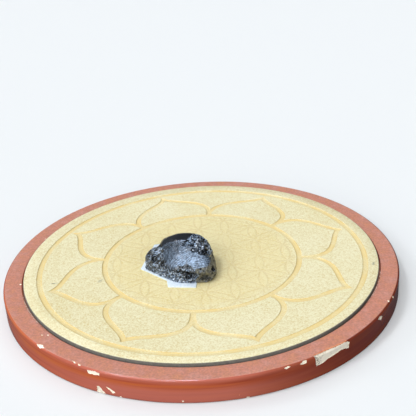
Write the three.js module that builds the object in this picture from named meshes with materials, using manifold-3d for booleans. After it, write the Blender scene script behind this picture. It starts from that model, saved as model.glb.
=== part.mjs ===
// A tektite, a lump of black natural glass, shown on a round carved board.
// The stone rests on a slip of white card, the card on a pale round panel with a carved
// lotus, and the panel sits in the recess of a painted wooden board.
// Millimetres, +Z up. The origin is the middle of the board's underside, and the stone's
// low front faces -Y.

import * as THREE from 'three';
import { mergeVertices } from 'three/addons/utils/BufferGeometryUtils.js';
import Module from 'manifold-3d';

const wasm = await Module();
wasm.setup();

// Driving dimensions: the board and its recess
const boardRadius = 126;
const boardHeight = 15;
const edgeRound = 1.6;
const edgeSteps = 3;
const recessRadius = 114.2;
const recessDepth = 1.5;
const boardSides = 64;

// The carved panel. Its carving is a little off the middle.
const panelRadius = 113.4;
const panelThickness = 3;
const panelSides = 72;
const carvingMiddle = new THREE.Vector2(0.9, -1.3);
const grooveWidth = 3.6;
const grooveDepth = 0.5;
const outerRing = 104.1;
const innerRing = 62.7;
const innerRingSides = 40;

// Half a petal of the lotus, as control points with x out towards its tip and y across it
const petalCount = 8;
const petalTurn = THREE.MathUtils.degToRad(17);
const petalRoot = [62.5, 25.9];
const petalBelly = [84, 32];
const petalNeck = [88, 7];
const petalTip = 97.6;
const petalSteps = 7;

// The petals aren't quite alike. These say how far each one leans to its left, and how much
// its belly swells.
const petalLeans = [0.5, -2.3, -3.2, 0, 4, 2.5, -0.8, 0.4];
const petalSwells = [0.5, -1.5, -3, -3.5, -1, 1.5, 0, -1.5];
const tipLean = 0.4;

// The slip of card, cut by hand: a straight left edge, a slanted front edge and a tab
const cardThickness = 0.6;
const cardOutline = [
  [-38.1, -11], [-21.2, -27.3], [-20.4, -35.1], [-3.3, -37.6],
  [-1.5, -22.3], [1.9, 4.7], [-15.1, 22], [-30.6, 20.6],
];

// The stone: the middle of its resting face, and half its width, depth and height
const stoneMiddle = new THREE.Vector2(-12.1, -15.3);
const stoneReach = new THREE.Vector3(23, 19, 15);
const stoneDetail = 14;

// Points closer than this are one point
const weldReach = 1e-4;

const panelFloor = boardHeight - recessDepth;
const panelTop = panelFloor + panelThickness;
const cardTop = panelTop + cardThickness;

function finish(name, geometry, colour, roughness) {
  const material = new THREE.MeshStandardMaterial({ color: colour, roughness, metalness: 0 });
  const mesh = new THREE.Mesh(geometry, material);
  mesh.name = name;
  return mesh;
}

// A solid for cutting and joining, made from any closed geometry.
function toSolid(geometry) {
  const bare = new THREE.BufferGeometry();
  bare.setAttribute('position', geometry.getAttribute('position').clone());
  if (geometry.index) bare.setIndex(geometry.index.clone());
  const merged = mergeVertices(bare, weldReach);
  return new wasm.Manifold(new wasm.Mesh({
    numProp: 3,
    vertProperties: new Float32Array(merged.getAttribute('position').array),
    triVerts: new Uint32Array(merged.index.array),
  }));
}

function toGeometry(solid) {
  const mesh = solid.getMesh();
  const geometry = new THREE.BufferGeometry();
  geometry.setAttribute('position', new THREE.BufferAttribute(mesh.vertProperties, 3));
  geometry.setIndex(new THREE.BufferAttribute(mesh.triVerts, 1));
  geometry.computeVertexNormals();
  return geometry;
}

// The board: a turned disc with rounded edges and a shallow round recess.
function makeBoard() {
  const profile = [new THREE.Vector2(0, 0)];
  const corner = (radius, height, from) => {
    for (let step = 0; step <= edgeSteps; step += 1) {
      const angle = from + (step / edgeSteps) * (Math.PI / 2);
      const across = radius + edgeRound * Math.cos(angle);
      profile.push(new THREE.Vector2(across, height + edgeRound * Math.sin(angle)));
    }
  };
  corner(boardRadius - edgeRound, edgeRound, -Math.PI / 2);
  corner(boardRadius - edgeRound, boardHeight - edgeRound, 0);
  profile.push(new THREE.Vector2(recessRadius, boardHeight));
  profile.push(new THREE.Vector2(recessRadius, panelFloor));
  profile.push(new THREE.Vector2(0, panelFloor));
  const geometry = new THREE.LatheGeometry(profile, boardSides);
  geometry.rotateX(Math.PI / 2);
  return finish('round_board', geometry, 0xb5604a, 0.45);
}

// A band of the groove's width along a run of points, ready to be cut into the panel.
function groove(points, closed) {
  const left = [];
  const right = [];
  const count = points.length;
  points.forEach((point, index) => {
    const next = points[(index + 1) % count].clone().sub(point).normalize();
    const last = point.clone().sub(points[(index + count - 1) % count]).normalize();
    const ahead = !closed && index === count - 1 ? last : next;
    const behind = !closed && index === 0 ? next : last;
    const along = ahead.clone().add(behind).normalize();
    const reach = grooveWidth / 2 / along.dot(ahead);
    const across = new THREE.Vector2(-along.y, along.x).multiplyScalar(reach);
    left.push(point.clone().add(across));
    right.push(point.clone().sub(across));
  });
  const shape = new THREE.Shape(closed ? right : [...right, ...left.reverse()]);
  if (closed) shape.holes.push(new THREE.Path(left));
  const band = new THREE.ExtrudeGeometry(shape, { depth: grooveDepth * 2, bevelEnabled: false });
  band.translate(carvingMiddle.x, carvingMiddle.y, panelThickness - grooveDepth);
  return toSolid(band);
}

function ringPoints(radius, sides) {
  const points = [];
  for (let side = 0; side < sides; side += 1) {
    const angle = (side / sides) * Math.PI * 2;
    points.push(new THREE.Vector2(Math.cos(angle), Math.sin(angle)).multiplyScalar(radius));
  }
  return points;
}

// One petal, from the inner ring out along one side to the tip and back along the other.
function petalPoints(petal) {
  const lean = petalLeans[petal];
  const swell = petalSwells[petal];
  const tip = new THREE.Vector2(petalTip, lean * tipLean);
  const side = (sign) => {
    const root = new THREE.Vector2(petalRoot[0], petalRoot[1] * sign);
    const belly = new THREE.Vector2(petalBelly[0], (petalBelly[1] + swell) * sign + lean);
    const neck = new THREE.Vector2(petalNeck[0], (petalNeck[1] + swell) * sign + lean);
    const curve = new THREE.CubicBezierCurve(root, belly, neck, tip);
    return [root.clone().setLength(innerRing), ...curve.getPoints(petalSteps)];
  };
  const run = [...side(-1), ...side(1).reverse().slice(1)];
  const middle = new THREE.Vector2();
  const turn = petalTurn + (petal / petalCount) * Math.PI * 2;
  return run.map((point) => point.rotateAround(middle, turn));
}

// The panel: a thin disc with the two rings and the eight lotus petals cut into its top.
function makePanel() {
  const disc = new THREE.CylinderGeometry(panelRadius, panelRadius, panelThickness, panelSides);
  disc.rotateX(Math.PI / 2);
  disc.translate(0, 0, panelThickness / 2);
  let solid = toSolid(disc);
  solid = solid.subtract(groove(ringPoints(outerRing, panelSides), true));
  solid = solid.subtract(groove(ringPoints(innerRing, innerRingSides), true));
  for (let petal = 0; petal < petalCount; petal += 1) {
    solid = solid.subtract(groove(petalPoints(petal), false));
  }
  const panel = finish('lotus_panel', toGeometry(solid), 0xeee8c1, 0.85);
  panel.position.z = panelFloor;
  return panel;
}

function makeCard() {
  const shape = new THREE.Shape(cardOutline.map(([x, y]) => new THREE.Vector2(x, y)));
  const slip = new THREE.ExtrudeGeometry(shape, { depth: cardThickness, bevelEnabled: false });
  const card = finish('card_slip', slip, 0xeaf0f6, 0.8);
  card.position.z = panelTop;
  return card;
}

// Repeatable noise from -1 to 1 that varies smoothly over about one unit.
function lattice(x, y, z) {
  let mix = Math.imul(x, 374761393) + Math.imul(y, 668265263) + Math.imul(z, 1274126177);
  mix = Math.imul(mix ^ (mix >>> 13), 1103515245);
  return (((mix ^ (mix >>> 16)) >>> 0) / 4294967295) * 2 - 1;
}

function smoothNoise(x, y, z) {
  const cell = [Math.floor(x), Math.floor(y), Math.floor(z)];
  const part = [x - cell[0], y - cell[1], z - cell[2]].map((t) => t * t * (3 - 2 * t));
  let sum = 0;
  for (let corner = 0; corner < 8; corner += 1) {
    const step = [corner & 1, (corner >> 1) & 1, corner >> 2];
    const weight = step.reduce((all, s, axis) => all * (s ? part[axis] : 1 - part[axis]), 1);
    sum += weight * lattice(cell[0] + step[0], cell[1] + step[1], cell[2] + step[2]);
  }
  return sum;
}

// The stone's form is a field that is below zero inside the glass. Its features are given
// in the stone's own place: x to the right, y to the back, z up from the resting face.
const lumps = [
  { at: [3.6, 0.5, 5.4], half: [17.6, 17.8, 16.9], square: 2.5 }, // the body
  { at: [11.4, -6.7, 4.6], half: [11.5, 12.2, 9], square: 2.4 }, // the low right front
  { at: [-3.6, 6.5, 8.3], half: [10, 9.5, 10.6], square: 2.5 }, // the left shoulder
  { at: [-13.5, 1.8, 3.4], half: [9.5, 12, 10.4], square: 2.4 }, // the left lobe
];
const lumpBlend = 2.2;

// The scoop is a large shallow hollow that runs from the front lip up to the ridge, and
// it has a smaller bay on its left.
const scoops = [
  { at: [-5, -26.3, 36], half: [34, 30, 30], square: 2 },
  { at: [-22.1, -16.2, 26.1], half: [24, 24, 24], square: 2 },
];
const scoopBlend = 3;

// Smaller hollows that were broken or etched into the skin.
const hollows = [
  { at: [2, -20.6, 5.2], half: [10, 4, 2.4], square: 2 }, // the long one under the lip
  { at: [16, -19, 3.4], half: [3.6, 4, 2.2], square: 2 }, // low on the right
  { at: [6, 24, 12], half: [9, 8, 7], square: 2 }, // behind
  { at: [26, 7, 7], half: [5, 7, 5], square: 2 }, // on the right side
];
const hollowBlend = 1.4;

// Flat breaks: a point on each, and the way it faces.
const breaks = [
  { at: [-13, -6.4, 4], faces: [-0.66, -0.74, 0.1] }, // the slanted left front
  { at: [18.6, 2, 13], faces: [0.92, -0.05, 0.38] }, // the right shoulder
];
const breakBlend = 1.6;

// Round pits left by gas bubbles: roughly where each one opens, and its radius.
const pits = [
  { at: [8.3, -6.5, 16.8], radius: 1.5 }, // the clean round one high in the scoop
  { at: [10.6, -7.6, 17], radius: 0.9 },
  { at: [15, -9.1, 16.2], radius: 1.8 }, // two that run into a long dark one
  { at: [17.4, -6.7, 15.8], radius: 1.6 },
  { at: [-7.8, -1.5, 18.6], radius: 0.9 }, // along the top of the scoop
  { at: [3.5, -2.6, 19.4], radius: 1 },
  { at: [12.6, -4, 20], radius: 1.3 },
  { at: [16.4, 1.2, 17.3], radius: 1.3 },
  { at: [-5.5, -13.2, 4.8], radius: 1.8 }, // under the lip
  { at: [-0.5, -16, 6.8], radius: 1.5 },
  { at: [5.5, -16.5, 4.6], radius: 1.8 },
  { at: [-14.1, -4.6, 9], radius: 1.7 }, // on the left lobe
  { at: [-19.2, 0.2, 9.6], radius: 1.6 },
  { at: [19.8, -13.8, 7.7], radius: 1.6 }, // on the right flank
  { at: [-10, 17, 9], radius: 2 }, // behind
  { at: [9, 17, 6], radius: 1.7 },
  { at: [1, 12, 20], radius: 1.4 },
];

// Rough skin: bumps of two sizes. The ridge is smooth, so they fade out near it.
const bumpSizes = [
  { across: 5.2, height: 0.55, shift: 0 },
  { across: 2.6, height: 0.35, shift: 40 },
];
const ridge = { at: [-4, 4, 21], half: [13, 8, 7], square: 2 };
const ridgeFade = 4;
const edgeShare = 0.3;
const leastShare = 0.15;

function lumpField(point, lump) {
  const sum = [point.x, point.y, point.z].reduce((all, value, axis) => {
    const share = Math.abs(value - lump.at[axis]) / lump.half[axis];
    return all + share ** lump.square;
  }, 0);
  return (sum ** (1 / lump.square) - 1) * Math.min(...lump.half);
}

function blend(a, b, reach) {
  const near = Math.max(reach - Math.abs(a - b), 0) / reach;
  return Math.min(a, b) - (near * near * reach) / 4;
}

function cut(a, b, reach) {
  return -blend(-a, -b, reach);
}

function relief(point) {
  const bumps = bumpSizes.reduce((sum, { across, height, shift }) => {
    const noise = smoothNoise(point.x / across + shift, point.y / across, point.z / across);
    return sum + noise * height;
  }, 0);
  const share = edgeShare + lumpField(point, ridge) / ridgeFade;
  return bumps * THREE.MathUtils.clamp(share, leastShare, 1);
}

function stoneField(point) {
  let field = lumps.map((lump) => lumpField(point, lump)).reduce((a, b) => blend(a, b, lumpBlend));
  breaks.forEach(({ at, faces }) => {
    const away = (point.x - at[0]) * faces[0] + (point.y - at[1]) * faces[1] + (point.z - at[2]) * faces[2];
    field = cut(field, away, breakBlend);
  });
  field += relief(point);
  scoops.forEach((scoop) => {
    field = cut(field, -lumpField(point, scoop), scoopBlend);
  });
  hollows.forEach((hollow) => {
    field = cut(field, -lumpField(point, hollow), hollowBlend);
  });
  return field;
}

// The point of the surface that lies from the stone's heart the given way.
const heart = new THREE.Vector3(0, 0, 7);
const marchStep = 0.02;
const halvings = 24;

function surfacePoint(way) {
  const point = new THREE.Vector3();
  let inside = 0;
  let outside = marchStep;
  const isOut = (share) => stoneField(point.copy(heart).addScaledVector(way, share)) > 0;
  while (!isOut(outside)) {
    inside = outside;
    outside += marchStep;
  }
  for (let halving = 0; halving < halvings; halving += 1) {
    const middle = (inside + outside) / 2;
    if (isOut(middle)) outside = middle;
    else inside = middle;
  }
  point.copy(heart).addScaledVector(way, inside);
  point.z = Math.max(point.z, 0);
  return point;
}

function makeStone() {
  const ball = new THREE.IcosahedronGeometry(1, stoneDetail);
  ball.deleteAttribute('normal');
  ball.deleteAttribute('uv');
  const skin = mergeVertices(ball, weldReach);
  const places = skin.getAttribute('position');
  const way = new THREE.Vector3();
  for (let index = 0; index < places.count; index += 1) {
    way.fromBufferAttribute(places, index).normalize().multiply(stoneReach);
    const point = surfacePoint(way);
    places.setXYZ(index, point.x, point.y, point.z);
  }
  let solid = toSolid(skin);
  pits.forEach((pit) => {
    const bubble = new THREE.IcosahedronGeometry(pit.radius, 1);
    const mouth = surfacePoint(way.fromArray(pit.at).sub(heart));
    bubble.translate(mouth.x, mouth.y, mouth.z);
    solid = solid.subtract(toSolid(bubble));
  });
  const stone = finish('tektite', toGeometry(solid), 0x20262c, 0.3);
  stone.position.set(stoneMiddle.x, stoneMiddle.y, cardTop);
  return stone;
}

const group = new THREE.Group();
group.add(makeBoard(), makePanel(), makeCard(), makeStone());

export default group;
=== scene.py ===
import math

import bmesh
import bpy
import numpy as np
from mathutils import Matrix, Vector
from mathutils.geometry import delaunay_2d_cdt


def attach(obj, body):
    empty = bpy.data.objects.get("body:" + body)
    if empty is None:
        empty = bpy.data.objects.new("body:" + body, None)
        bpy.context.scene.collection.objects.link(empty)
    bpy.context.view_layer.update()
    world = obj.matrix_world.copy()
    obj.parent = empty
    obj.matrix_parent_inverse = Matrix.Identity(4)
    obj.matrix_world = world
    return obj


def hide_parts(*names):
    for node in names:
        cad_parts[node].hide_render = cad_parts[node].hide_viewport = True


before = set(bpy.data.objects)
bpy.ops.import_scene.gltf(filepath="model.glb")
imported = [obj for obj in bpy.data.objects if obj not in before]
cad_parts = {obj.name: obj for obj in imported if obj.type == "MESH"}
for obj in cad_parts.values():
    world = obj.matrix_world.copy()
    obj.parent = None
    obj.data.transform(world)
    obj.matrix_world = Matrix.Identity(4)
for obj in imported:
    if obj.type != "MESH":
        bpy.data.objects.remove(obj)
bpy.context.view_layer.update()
scene = bpy.context.scene
mm = 0.001
fineDepth = 0.1 * mm        # how deep the finest bumps look
print("packed model loaded")

# The photograph's own viewpoint, in millimetres and degrees
view = {
    "place": (6.84, -459.91, 271.78),
    "lookDown": 25.574,
    "roll": -3.42,
    "lens": 70.06,
}


def makeCamera():
    down = math.radians(view["lookDown"])
    roll = math.radians(view["roll"])
    ahead = Vector((0, math.cos(down), -math.sin(down)))
    level = Vector((1, 0, 0))
    above = Vector((0, math.sin(down), math.cos(down)))
    right = level * math.cos(roll) + above * math.sin(roll)
    up = above * math.cos(roll) - level * math.sin(roll)
    data = bpy.data.cameras.new("camera")
    data.sensor_width = 36
    data.lens = view["lens"]
    data.clip_end = 50
    eye = bpy.data.objects.new("camera", data)
    scene.collection.objects.link(eye)
    turn = Matrix((right, up, -ahead)).transposed().to_4x4()
    eye.matrix_world = Matrix.Translation(Vector(view["place"]) * mm) @ turn
    scene.camera = eye


makeCamera()
print("camera placed")


def linear(code):
    # sRGB hex to the linear colour that shaders use
    parts = [int(code[at:at + 2], 16) / 255 for at in (1, 3, 5)]
    bent = [c / 12.92 if c <= 0.04045 else ((c + 0.055) / 1.055) ** 2.4 for c in parts]
    return (*bent, 1.0)


def add(tree, kind, inputs=None, stops=None, **settings):
    # one shader node with its settings, its values or links, and a ramp's stops. A link may
    # come from a socket, or from a node, which then gives its first output.
    node = tree.nodes.new("ShaderNode" + kind)
    for name, value in settings.items():
        setattr(node, name, value)
    for socket, value in (inputs or {}).items():
        if isinstance(value, bpy.types.Node):
            value = value.outputs[0]
        if isinstance(value, bpy.types.NodeSocket):
            tree.links.new(value, node.inputs[socket])
        else:
            node.inputs[socket].default_value = value
    if stops:
        points = node.color_ramp.elements
        while len(points) < len(stops):
            points.new(0.5)
        for point, (place, colour) in zip(points, stops):
            point.position = place
            point.color = linear(colour)
    return node


def mix(tree, share, first, second, kind="MIX"):
    # two colours blended; gives the colour socket
    node = add(tree, "Mix", {0: share, 6: first, 7: second}, data_type="RGBA", blend_type=kind)
    return node.outputs[2]


def newMaterial(name):
    material = bpy.data.materials.new(name)
    material.use_nodes = True
    tree = material.node_tree
    tree.nodes.clear()
    return material, tree


def finishMaterial(tree, inputs):
    # paint, gesso, paper, sealed fibre and this glass all have an IOR near 1.5
    shader = add(tree, "BsdfPrincipled", {"IOR": 1.5, **inputs})
    add(tree, "OutputMaterial", {"Surface": shader})


def meshObject(name, points, faces, materials):
    # points in millimetres
    data = bpy.data.meshes.new(name)
    data.from_pydata([tuple(c * mm for c in point) for point in points], [], faces)
    data.validate()
    thing = bpy.data.objects.new(name, data)
    scene.collection.objects.link(thing)
    for material in materials:
        data.materials.append(material)
    return thing


def applyModifiers(thing):
    bpy.context.view_layer.update()
    graph = bpy.context.evaluated_depsgraph_get()
    made = bpy.data.meshes.new_from_object(thing.evaluated_get(graph))
    thing.modifiers.clear()
    thing.data = made


def cutWith(thing, cutters):
    for cutter in cutters:
        step = thing.modifiers.new("cut", "BOOLEAN")
        step.operation = "DIFFERENCE"
        step.solver = "MANIFOLD"
        step.object = cutter
    applyModifiers(thing)
    for cutter in cutters:
        bpy.data.objects.remove(cutter)


def shadeByAngle(thing, degrees):
    thing.data.shade_smooth()
    thing.data.set_sharp_from_angle(angle=math.radians(degrees))


def handOver(thing, node):
    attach(thing, "root")
    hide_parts(node)


def noise(points, size, seed):
    # smooth noise from -1 to 1 that varies over about one size, the same in every run
    table = np.random.default_rng(seed).uniform(-1, 1, 4096)
    spot = points / size + 100 + seed * 7.31
    cell = np.floor(spot).astype(np.int64)
    part = spot - cell
    part = part * part * (3 - 2 * part)
    total = np.zeros(len(points))
    for corner in range(8):
        step = np.array([corner & 1, (corner >> 1) & 1, corner >> 2])
        at = cell + step
        place = (at[:, 0] * 73856093 ^ at[:, 1] * 19349663 ^ at[:, 2] * 83492791) & 4095
        weight = np.prod(np.where(step == 1, part, 1 - part), axis=1)
        total += weight * table[place]
    return total


# Painted wood: a turned disc under brushed rust-red paint over white gesso. To the eye: a
# soft gloss with faint brush lines on the side, and a duller pink top with dust and orange
# patches where the paint is thin. The top's paler pink is partly dust and partly painted
# sheen. The side is painted pinker towards its edges and at the front, partly thin paint and
# partly painted sheen, and painted darker on the right as painted shade.
paint = {
    "side": "#bc5937",
    "sideDeep": "#a5472c",
    "sideOrange": "#c66533",
    "sideThinAndSheen": "#c4705f",   # pinker towards both edges and at the front: partly thin paint, partly painted sheen, the floor's reflection low down
    "thinSheenLow": (10.6, 7.4, 0.75),   # mm above the table where that starts and is full, share
    "thinSheenHigh": (11.8, 13.4, 0.5),
    "thinSheenMiddle": -18.0,            # mm to the right where that pinkness is strongest
    "thinSheenReach": (35.0, 85.0),      # mm from there where that starts to end and has ended
    "sidePaintedShade": "#641f11",   # painted shade: the side painted darker on the right, where less light reaches it
    "paintedShadeFrom": (12.0, 78.0, 0.75),     # mm to the right where that starts and is full, share
    # the top is painted paler and pinker than the side: partly dust, partly painted sheen
    "top": "#cb866e",
    "topOrange": "#cf8a68",
    "topPale": "#cd8f7c",
    "topFrom": (0.86, 0.98),        # how far up a face looks where the top's paler colour and duller finish start
    "mottle": 7.0,      # mm across a patch of the top
    "grain": 1.1,       # mm across a grain of dust
    "stroke": 1.3,      # mm between brush lines
    "streak": 5.0,      # mm between the broad bands that the brush left
    "roughSide": 0.18,
    "roughTop": 0.6,
}


def makePaint():
    material, tree = newMaterial("paintedWoodBrushed")
    place = add(tree, "TexCoord").outputs["Object"]
    facing = add(tree, "SeparateXYZ", {0: add(tree, "NewGeometry").outputs["Normal"]}).outputs[2]
    start, full = paint["topFrom"]
    onTop = add(tree, "MapRange", {"Value": facing, "From Min": start, "From Max": full})
    mottle = add(tree, "TexNoise", {
        "Vector": place, "Scale": 1 / (paint["mottle"] * mm), "Detail": 3, "Roughness": 0.6,
    })
    patch = add(tree, "ValToRGB", {0: mottle}, stops=[
        (0.34, paint["topPale"]), (0.5, paint["top"]), (0.68, paint["topOrange"]),
    ])
    grain = add(tree, "TexNoise", {
        "Vector": place, "Scale": 1 / (paint["grain"] * mm), "Detail": 2,
    })
    dust = add(tree, "MapRange", {
        "Value": grain, "From Min": 0.3, "From Max": 0.7, "To Min": 0.82, "To Max": 1.12,
    })
    topDustAndSheen = mix(tree, 1.0, patch, dust, "MULTIPLY")
    long = add(tree, "Mapping", {"Vector": place, "Scale": (0.04, 0.04, 1)})
    lines = add(tree, "TexNoise", {
        "Vector": long, "Scale": 1 / (paint["stroke"] * mm), "Detail": 2, "Roughness": 0.55,
    })
    bands = add(tree, "TexNoise", {
        "Vector": long, "Scale": 1 / (paint["streak"] * mm), "Detail": 1,
    })
    brushed = add(tree, "Mix", {0: 0.35, 2: bands, 3: lines})
    sideColour = add(tree, "ValToRGB", {0: brushed}, stops=[
        (0.38, paint["sideDeep"]), (0.5, paint["side"]), (0.62, paint["sideOrange"]),
    ])
    split = add(tree, "SeparateXYZ", {0: place})
    start, full = paint["thinSheenReach"]
    along = add(tree, "Math", {0: split.outputs[0], 1: paint["thinSheenMiddle"] * mm},
                operation="SUBTRACT")
    along = add(tree, "Math", {0: along}, operation="ABSOLUTE")
    along = add(tree, "MapRange", {
        "Value": along, "From Min": full * mm, "From Max": start * mm, "To Min": 0.2,
    })
    # painted sheen and thin paint: the side is painted pinker near its top and bottom edges, most
    # at the front
    for start, full, share in (paint["thinSheenLow"], paint["thinSheenHigh"]):
        thinSheen = add(tree, "MapRange", {
            "Value": split.outputs[2], "From Min": start * mm, "From Max": full * mm,
            "To Max": share,
        })
        thinSheen = add(tree, "Math", {0: thinSheen, 1: along}, operation="MULTIPLY")
        sideColour = mix(tree, thinSheen, sideColour, linear(paint["sideThinAndSheen"]))
    # painted shade: the side is painted darker towards the right
    start, full, share = paint["paintedShadeFrom"]
    paintedShade = add(tree, "MapRange", {
        "Value": split.outputs[0], "From Min": start * mm, "From Max": full * mm, "To Max": share,
    })
    sideColour = mix(tree, paintedShade, sideColour, linear(paint["sidePaintedShade"]))
    colour = mix(tree, onTop, sideColour, topDustAndSheen)
    rough = add(tree, "MapRange", {
        "Value": onTop, "To Min": paint["roughSide"], "To Max": paint["roughTop"],
    })
    height = add(tree, "Mix", {0: onTop, 2: lines, 3: grain})
    bump = add(tree, "Bump", {"Height": height, "Strength": 0.25, "Distance": fineDepth})
    finishMaterial(tree, {"Base Color": colour, "Roughness": rough, "Normal": bump})
    return material


# Gesso: the chalky white ground under the paint. To the eye: flat cream white with grey
# dirt, and a patch of brown specks on the large chip where a film of paint is left.
gesso = {
    "clean": "#fff5e0",
    "dirty": "#dfd3bb",
    "specked": "#8f806e",
    "grain": 2.2,       # mm across a patch of dirt
    "speck": 0.8,       # mm across a speck of paint
    "patch": (57.8, -111.0, 10.5),  # mm, the middle of the specked patch
    "patchReach": 5.5,
    "rough": 0.9,
}


def makeGesso():
    material, tree = newMaterial("gessoChalky")
    place = add(tree, "TexCoord").outputs["Object"]
    dirt = add(tree, "TexNoise", {
        "Vector": place, "Scale": 1 / (gesso["grain"] * mm), "Detail": 4, "Roughness": 0.7,
    })
    colour = add(tree, "ValToRGB", {0: dirt}, stops=[
        (0.3, gesso["dirty"]), (0.46, gesso["clean"]),
    ])
    middle = tuple(c * mm for c in gesso["patch"])
    far = add(tree, "VectorMath", {0: place, 1: middle}, operation="DISTANCE").outputs["Value"]
    near = add(tree, "MapRange", {
        "Value": far, "From Min": gesso["patchReach"] * mm,
        "From Max": gesso["patchReach"] * mm * 0.5,
    })
    speck = add(tree, "TexNoise", {
        "Vector": place, "Scale": 1 / (gesso["speck"] * mm), "Detail": 2,
    })
    speck = add(tree, "MapRange", {"Value": speck, "From Min": 0.45, "From Max": 0.6})
    share = add(tree, "Math", {0: near, 1: speck}, operation="MULTIPLY")
    colour = mix(tree, share, colour, linear(gesso["specked"]))
    bump = add(tree, "Bump", {"Height": dirt, "Strength": 0.4, "Distance": fineDepth})
    finishMaterial(tree, {"Base Color": colour, "Roughness": gesso["rough"], "Normal": bump})
    return material


# An older orange coat that shows as a thin line along scratches. Its grain is in mm.
oldCoat = {"colour": "#e39a6c", "deep": "#c9784c", "grain": 2.0, "rough": 0.6}


def makeOldCoat():
    material, tree = newMaterial("paintOldOrange")
    place = add(tree, "TexCoord").outputs["Object"]
    patches = add(tree, "TexNoise", {
        "Vector": place, "Scale": 1 / (oldCoat["grain"] * mm), "Detail": 3,
    })
    colour = add(tree, "ValToRGB", {0: patches}, stops=[
        (0.35, oldCoat["deep"]), (0.6, oldCoat["colour"]),
    ])
    finishMaterial(tree, {"Base Color": colour, "Roughness": oldCoat["rough"]})
    return material


# The round board. Lengths in millimetres. A chip's outline is given as degrees round the
# board from +X and millimetres over its skin from the rim's inner edge, outwards and down.
board = {
    "radius": 126.0,
    "height": 15.0,
    "edgeRound": 1.6,
    "recess": 114.2,
    "recessFloor": 13.5,
    "innerRound": 0.5,
    "sides": 360,
    "sideSteps": 8,
    "topSteps": 5,
    "roundSteps": 6,
    "wave": 0.12,           # how far the edge is worn in where it is worn most
    "chipDepth": 0.3,
    "chipLean": 0.04,       # how far a chip's face leans back, per millimetre of its height
    "ragged": 0.22,         # how far a chip's edge strays
    "chipStep": 0.6,        # between points along a chip's edge
    "chipGrid": (0.7, 0.45),        # between points over its floor
    "chipAbove": 0.8,       # how far its cutter stands over the skin
    "chips": [
        [(-62.5, 10.9), (-59.1, 10.7), (-51.8, 11.6), (-51.2, 12.9), (-51.5, 16.2), (-54.0, 14.8),
         (-58.3, 16.0), (-59.9, 17.1), (-62.0, 17.8), (-62.3, 13.6)],
        [(-66.7, 12.4), (-65.6, 11.2), (-64.7, 11.5), (-65.0, 13.2), (-66.0, 13.4)],
        [(-70.9, 12.0), (-69.9, 11.3), (-69.2, 12.0), (-70.2, 12.9)],
        [(-38.5, 12.9), (-37.3, 12.0), (-35.8, 13.8), (-36.7, 15.2)],
        [(-30.4, 10.2), (-29.8, 10.0), (-29.7, 11.0), (-30.3, 11.1)],
        [(-27.4, 11.4), (-26.9, 11.3), (-26.8, 12.3), (-27.4, 12.4)],
        [(-137.7, 11.3), (-135.9, 9.5), (-134.7, 10.9), (-136.1, 12.4)],
        [(-119.5, 12.4), (-118.0, 12.0), (-115.9, 12.2), (-116.1, 13.8), (-117.9, 14.2),
         (-119.3, 14.1)],
        [(-124.6, 10.1), (-124.1, 10.1), (-123.1, 10.8), (-123.7, 11.1)],
        [(-122.5, 10.6), (-121.5, 10.9), (-121.6, 11.4), (-122.4, 11.2)],
        [(-117.2, 21.5), (-116.6, 20.8), (-114.9, 25.0), (-115.7, 25.8), (-117.3, 25.1)],
        [(-114.6, 20.3), (-113.5, 20.8), (-112.0, 23.1), (-112.9, 23.6)],
        [(-111.2, 24.7), (-110.7, 24.6), (-110.7, 25.5), (-111.2, 25.6)],
        [(-95.7, 23.6), (-95.2, 23.6), (-95.2, 24.6), (-95.7, 24.6)],
        [(-80.5, 24.8), (-79.7, 24.6), (-79.6, 25.8), (-80.4, 25.9)],
        [(158.2, 1.0), (158.8, 0.9), (158.8, 1.7), (158.3, 1.8)],
        [(-171.2, 0.7), (-170.6, 0.7), (-170.5, 1.5), (-171.1, 1.6)],
        [(-140.3, 4.3), (-139.8, 4.1), (-139.7, 4.7), (-140.2, 4.9)],
        [(-139.1, 1.9), (-138.6, 1.7), (-138.5, 2.4), (-139.0, 2.5)],
        [(-168.0, -0.4), (-163.0, 0.1), (-155.0, 0.35), (-147.0, 0.35), (-141.0, 0.0),
         (-140.0, -0.4)],
        [(-38.0, -0.4), (-33.0, 0.15), (-24.0, 0.25), (-14.0, 0.1), (-12.0, -0.4)],
    ],
    "scratches": [
        [(-62.4, 9.9), (-58.9, 9.6), (-51.9, 10.6), (-51.9, 11.5), (-58.9, 10.6), (-62.4, 10.8)],
        [(-83.4, 24.8), (-82.1, 22.4), (-81.7, 22.9), (-82.8, 25.3)],
        [(-73.1, 18.1), (-72.8, 16.4), (-72.4, 16.6), (-72.7, 18.3)],
    ],
}


def skinPoint(degrees, along, lift):
    # a point over the board's skin, lifted off it along the way it faces
    bend = board["edgeRound"]
    flat = board["radius"] - bend - board["recess"]
    quarter = bend * math.pi / 2
    drop = board["height"] - 2 * bend
    if along < flat:
        spot, way = (board["recess"] + along, board["height"]), (0, 1)
    elif along < flat + quarter:
        turn = (along - flat) / bend
        way = (math.sin(turn), math.cos(turn))
        spot = (board["radius"] - bend + bend * way[0], board["height"] - bend + bend * way[1])
    elif along < flat + quarter + drop:
        spot, way = (board["radius"], board["height"] - bend - (along - flat - quarter)), (1, 0)
    else:
        turn = (along - flat - quarter - drop) / bend
        way = (math.cos(turn), -math.sin(turn))
        spot = (board["radius"] - bend + bend * way[0], bend + bend * way[1])
    out, up = spot[0] + way[0] * lift, spot[1] + way[1] * lift
    angle = math.radians(degrees)
    return (out * math.cos(angle), out * math.sin(angle), up)


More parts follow.
